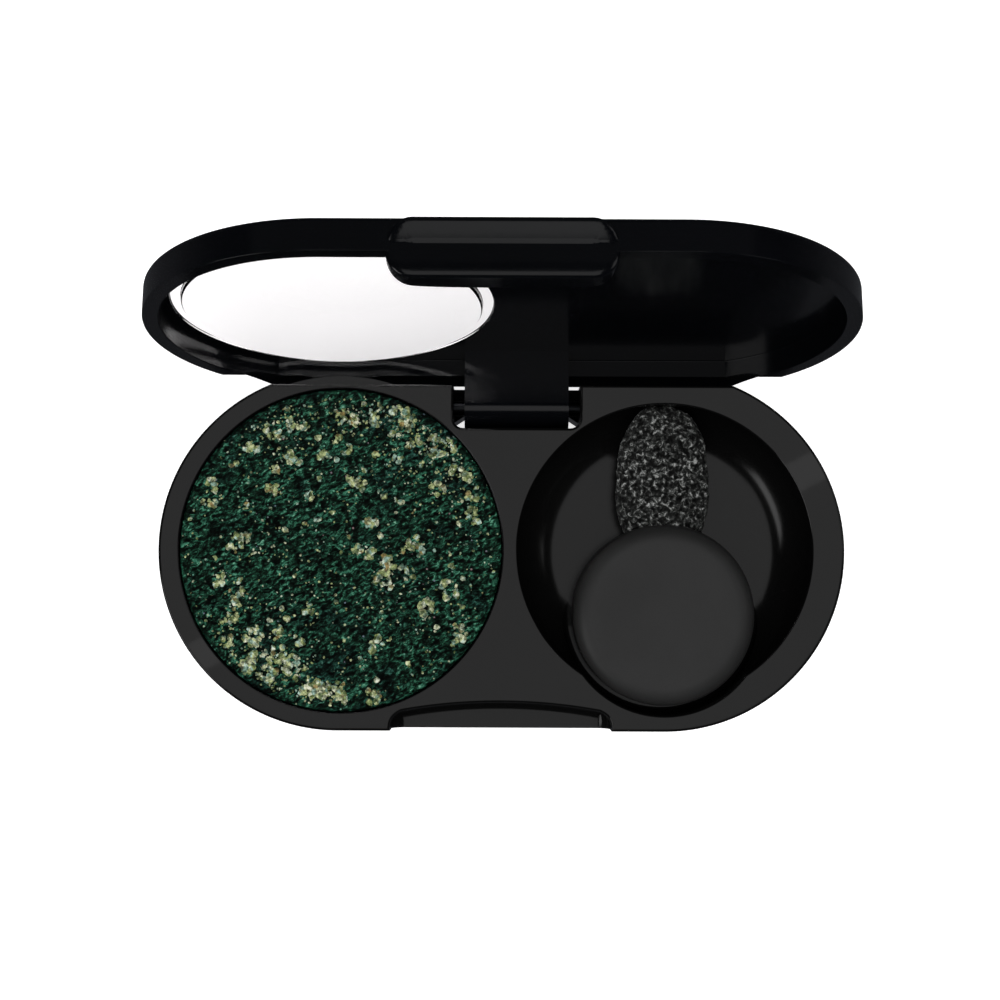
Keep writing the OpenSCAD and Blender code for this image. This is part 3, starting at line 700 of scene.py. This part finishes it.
def buildCake():
    k = cake
    radius = (cakeHigh.x - cakeLow.x) / 2
    top, rimZ = cakeHigh.z, panHigh.z
    cells = int(2 * radius / k["grid"])
    bm = bmesh.new()
    bmesh.ops.create_grid(bm, x_segments=cells, y_segments=cells, size=radius + k["grid"],
                          matrix=Matrix.Translation((0, 0, top)))
    outside = [v for v in bm.verts if v.co.xy.length > radius + 0.3 * k["grid"]]
    bmesh.ops.delete(bm, geom=outside, context="VERTS")
    for v in bm.verts:
        if any(e.is_boundary for e in v.link_edges):
            v.co.xy = v.co.xy.normalized() * radius
    bmesh.ops.recalc_face_normals(bm, faces=bm.faces)
    skin = set(bm.verts)
    rings = ((radius, rimZ), (k["underR"], rimZ), (k["underR"], panLow.z + 0.35))
    edge = [e for e in bm.edges if e.is_boundary]
    for ringR, ringZ in rings:
        grown = bmesh.ops.extrude_edge_only(bm, edges=edge)["geom"]
        edge = [g for g in grown if isinstance(g, bmesh.types.BMEdge)]
        for v in {v for e in edge for v in e.verts}:
            v.co.xy = v.co.xy.normalized() * ringR
            v.co.z = ringZ
    bmesh.ops.holes_fill(bm, edges=edge, sides=0)
    for v in skin:
        r = v.co.xy.length
        inward = min(1.0, max(0.0, (r - radius + k["edge"]) / k["edge"]))
        v.co.z += grainHeight(v.co.x, v.co.y) * (1 - 0.5 * inward) - k["edgeDrop"] * inward ** 2
    bmesh.ops.translate(bm, verts=bm.verts, vec=(panX, 0, 0))
    bmesh.ops.recalc_face_normals(bm, faces=bm.faces)
    return makePiece("shadowCake", bm, "base", pigment, ["pressed_shadow"], 80, False)


flakes = {
    "clumps": 210, "loose": 1000, "batch": 40, "reach": 12.6,
    "clumpR": (0.08, 0.85), "chip": (0.15, 0.36), "crumb": (0.05, 0.13), "thin": 0.55, "crumbThin": 0.7,
    "crowdAngles": (35, 50, 68, 118, 222, 236, 250), "crowdShare": 0.42,
}


def flakePlace(reach):
    f = flakes
    if random.random() < f["crowdShare"]:  # the press leaves them thick at two opposite edges
        angle = math.radians(random.choice(f["crowdAngles"]) + random.gauss(0, 12))
        r = reach - abs(random.gauss(0, 2.4))
    else:
        angle = random.uniform(0, 2 * math.pi)
        r = reach * math.sqrt(random.random())
    r = min(reach, abs(r))
    return Vector((r * math.cos(angle), r * math.sin(angle)))


def addChip(bm, at, size, thin, tilt):
    z = cakeHigh.z + grainHeight(at.x, at.y) + size * thin * 0.3
    turn = Matrix.Rotation(random.uniform(0, 2 * math.pi), 4, "Z") @ Matrix.Rotation(random.gauss(0, tilt), 4, "X")
    stretch = Matrix.Diagonal((size * random.uniform(0.8, 1.3), size * random.uniform(0.7, 1.05), size * thin, 1))
    made = bmesh.ops.create_icosphere(bm, subdivisions=1, radius=1,
                                      matrix=Matrix.Translation((at.x, at.y, z)) @ turn @ stretch)
    for v in made["verts"]:
        v.co += noise.noise_vector(v.co * 5) * size * 0.45


def clumpChips():  # where the chips of one clump lie, and how big each is
    f = flakes
    low, high = f["clumpR"]
    spread = low + (high - low) * random.random() ** 2.6
    middle = flakePlace(f["reach"] - spread * 0.5)
    squeeze, heading = random.uniform(0.55, 1.0), Matrix.Rotation(random.uniform(0, math.pi), 2)
    for _ in range(int(1.5 + 15 * spread ** 1.6)):
        away, angle = spread * math.sqrt(random.random()), random.uniform(0, 2 * math.pi)
        at = middle + heading @ Vector((away * math.cos(angle), away * squeeze * math.sin(angle)))
        if at.length < f["reach"]:
            yield at, random.uniform(*f["chip"]) * (0.75 + 0.4 * spread), f["thin"], 0.4


def buildFlakes():
    f = flakes
    chips = [chip for _ in range(f["clumps"]) for chip in clumpChips()]
    chips += [(flakePlace(f["reach"]), random.uniform(*f["crumb"]), f["crumbThin"], 0.6) for _ in range(f["loose"])]
    whole = bmesh.new()
    for start in range(0, len(chips), f["batch"]):  # small batches, because each operator walks the whole mesh
        bm = bmesh.new()
        for chip in chips[start:start + f["batch"]]:
            addChip(bm, *chip)
        mesh = bpy.data.meshes.new("batch")
        bm.to_mesh(mesh)
        bm.free()
        whole.from_mesh(mesh)
        bpy.data.meshes.remove(mesh)
    bmesh.ops.translate(whole, verts=whole.verts, vec=(panX, 0, 0))
    return makePiece("shadowFlakes", whole, "base", mica, (), 50, False)


shadowCake = buildCake()
shadowFlakes = buildFlakes()
for obj in (shadowCake, shadowFlakes):  # keeps the green out of the polished lid's reflections
    obj.visible_glossy = False

kept = {  # CAD nodes whose shape stays
    "bottom_cover": coverAbs, "base_label": labelFoil, "pan_glue": glue, "shadow_pan": tinplate,
    "hinge_pin": pinSteel, "applicator_stem": stemPp,
}
for node, material in kept.items():
    mesh = frame["nodes"][node].data
    mesh.materials.clear()
    mesh.materials.append(material)
print("CAD nodes dressed")


studio = {
    "floor": "#f4f4f4", "floorHalf": 1500, "floorGlow": 0.8,
    "under": "#3f4043", "above": "#060607",  # what the polished sides reflect from below and from the horizon up
    # place, aimed at, width, height in millimetres, turn in degrees, radiance; cards show as reflections
    "cards": {
        "zenithCard": ((0, 0, 900), (0, 0, 0), 520, 460, 0, 0.5),
        "bandCardRight": ((146, 52, 880), (0, 0, 0), 50, 15, 98, 0.28),
        "bandCardLeft": ((-144, -37, 880), (0, 0, 0), 50, 15, 104, 0.28),
        "leftCard": ((-900, -420, 760), (0, 0, 0), 620, 620, 0, 1.5),
        "rightCard": ((950, 250, 820), (0, 0, 0), 520, 520, 0, 0.5),
        "backCard": ((0, 750, 800), (0, 0, 0), 1900, 600, 0, 0.03),
    },
    # fills are polarised out of the reflections, so they only light matt surfaces and the floor
    "fills": {
        "topFill": ((0, -100, 1500), (0, 0, 0), 1900, 1900, 0, 1.7),
        "frontFill": ((0, -1300, 900), (0, 0, 0), 1200, 900, 0, 0.9),
        "leftFill": ((-1300, 0, 900), (0, 0, 0), 1200, 900, 0, 0.7),
        "rightFill": ((1300, 0, 900), (0, 0, 0), 1200, 900, 0, 0.7),
        "backFill": ((0, 1300, 900), (0, 0, 0), 1200, 900, 0, 0.7),
    },
}


def addLight(name, place, aim, width, height, turn, radiance, shine):
    data = bpy.data.lights.new(name, "AREA")
    data.shape = "RECTANGLE"
    data.size, data.size_y = width * mm, height * mm
    data.energy = radiance * math.pi * data.size * data.size_y
    obj = bpy.data.objects.new(name, data)
    aimed = (Vector(aim) - Vector(place)).to_track_quat("-Z", "Y").to_matrix().to_4x4()
    obj.matrix_world = Matrix.Translation(Vector(place) * mm) @ Matrix.Rotation(math.radians(turn), 4, "Z") @ aimed
    obj.visible_glossy = shine
    bpy.context.scene.collection.objects.link(obj)


def buildStudio():
    s = studio
    bm = bmesh.new()
    bmesh.ops.create_grid(bm, x_segments=2, y_segments=2, size=s["floorHalf"] * mm)
    floor = addObject("floor", bm)
    paper, tree, surface, place = newMaterial("backlitPaper", {
        "Roughness": 0.9, "Specular IOR Level": 0.2, "Emission Color": hexColour("#ffffff"),
        "Emission Strength": s["floorGlow"]})
    fibre = addNode(tree, "ShaderNodeTexNoise", {"Vector": place, "Scale": perMetre(3), "Detail": 4.0})
    shade = addNode(tree, "ShaderNodeValToRGB", {"Fac": fibre.outputs["Fac"],
                                                 "stops": [(0.3, s["floor"]), (0.7, "#f7f7f7")]})
    tree.links.new(shade.outputs["Color"], surface.inputs["Base Color"])
    floor.data.materials.append(paper)
    floor.visible_glossy = False
    world = bpy.data.worlds.new("studioSurround")
    world.use_nodes = True
    bpy.context.scene.world = world
    tree = world.node_tree
    heading = addNode(tree, "ShaderNodeTexCoord", {}).outputs["Generated"]
    height = addNode(tree, "ShaderNodeSeparateXYZ", {"Vector": heading})
    lift = addNode(tree, "ShaderNodeMapRange", {"Value": height.outputs["Z"], "From Min": -0.5, "From Max": 0.25})
    tone = addNode(tree, "ShaderNodeValToRGB", {"Fac": lift.outputs["Result"],
                                                "stops": [(0.2, s["under"]), (1.0, s["above"])]})
    tree.links.new(tone.outputs["Color"], tree.nodes["Background"].inputs["Color"])
    for group, shine in (("cards", True), ("fills", False)):
        for name, values in s[group].items():
            addLight(name, *values, shine)


camera = {"place": (-0.127, -2.81, 185.74), "tilt": 2.247, "roll": 0.004, "lens": 78.5, "sensor": 36}


def buildCamera():
    c = camera
    tilt = math.radians(c["tilt"])
    look = Vector((0, math.sin(tilt), -math.cos(tilt)))
    right, up = Vector((1, 0, 0)), Vector((0, math.cos(tilt), math.sin(tilt)))
    turn = Matrix.Rotation(-c["roll"], 3, look)
    right, up = turn @ right, turn @ up
    data = bpy.data.cameras.new("camera")
    data.lens, data.sensor_width = c["lens"], c["sensor"]
    data.clip_start, data.clip_end = 0.01, 10
    obj = bpy.data.objects.new("camera", data)
    facing = Matrix((right, up, -look)).transposed().to_4x4()
    obj.matrix_world = Matrix.Translation(Vector(c["place"]) * mm) @ facing
    bpy.context.scene.collection.objects.link(obj)
    bpy.context.scene.camera = obj


buildStudio()
buildCamera()
bpy.context.scene.view_settings.view_transform = "Standard"
print("studio ready")
